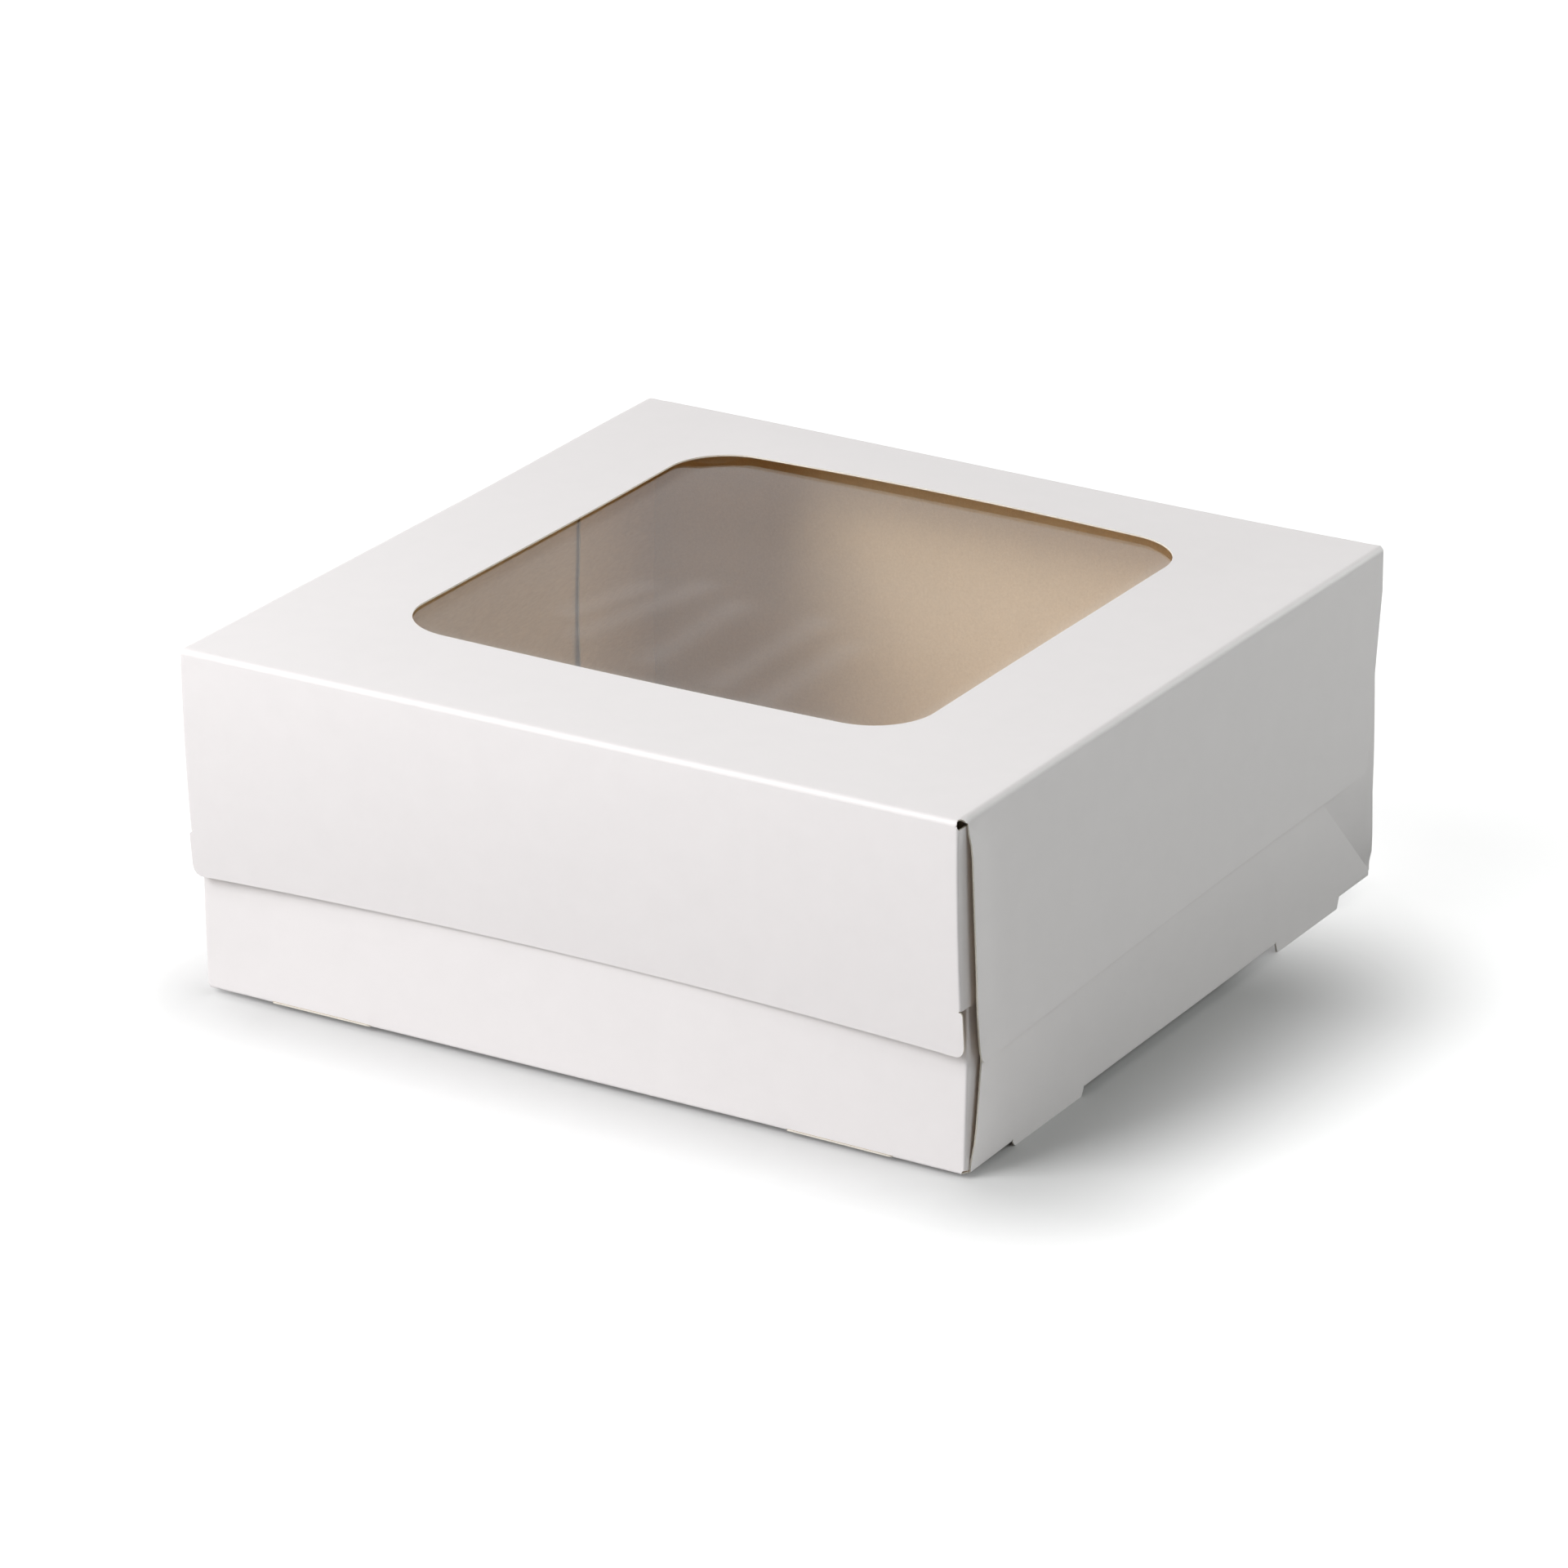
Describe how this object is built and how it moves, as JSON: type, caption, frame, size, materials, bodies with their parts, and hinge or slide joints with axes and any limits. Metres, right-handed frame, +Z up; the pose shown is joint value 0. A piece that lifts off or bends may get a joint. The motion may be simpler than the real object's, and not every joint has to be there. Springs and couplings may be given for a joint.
{
  "type": "windowed box",
  "caption": "Square glued paperboard box with a hinged lid whose flaps close over the walls and a rounded film window in the lid.",
  "frame": {"origin": "on the floor under the middle of the closed box, at the lower end of the standing lips", "axes": "+Z up, -Y towards the front of the box and away from the lid's hinge crease, +X to the right seen from the front"},
  "size_m": [0.2018, 0.202, 0.0865],
  "materials": {
    "white_board": "smooth coated white carton board, faint satin sheen",
    "kraft_inside": "uncoated tan kraft back of the same board, matt and lightly fibrous",
    "clear_film": "clear glossy packaging film with soft wrinkles",
    "glue": "thin dried layer of white carton glue"
  },
  "bodies": {
    "tray": {"floor_panel": "kraft_inside", "front_wall": "white_board", "rear_wall": "white_board", "left_wall": "white_board", "left_front_gusset": "white_board", "left_front_glue": "glue", "left_front_tab": "kraft_inside", "left_rear_gusset": "white_board", "left_rear_glue": "glue", "left_rear_tab": "kraft_inside", "right_wall": "white_board", "right_front_gusset": "white_board", "right_front_glue": "glue", "right_front_tab": "kraft_inside", "right_rear_gusset": "white_board", "right_rear_glue": "glue", "right_rear_tab": "kraft_inside"},
    "lid": {"lid_panel": "white_board", "lid_front_flap": "white_board", "lid_left_flap": "white_board", "lid_left_gusset": "white_board", "lid_left_glue": "glue", "lid_left_tab": "white_board", "lid_right_flap": "white_board", "lid_right_gusset": "white_board", "lid_right_glue": "glue", "lid_right_tab": "white_board", "window_glue": "glue", "window_film": "clear_film"}
  },
  "joints": [
    {"name": "lid_hinge", "type": "hinge", "parent": "tray", "child": "lid", "pos_m": [0, 0.101, 0.0865], "axis": [-1, 0, 0], "range_deg": [0, 200]}
  ]
}
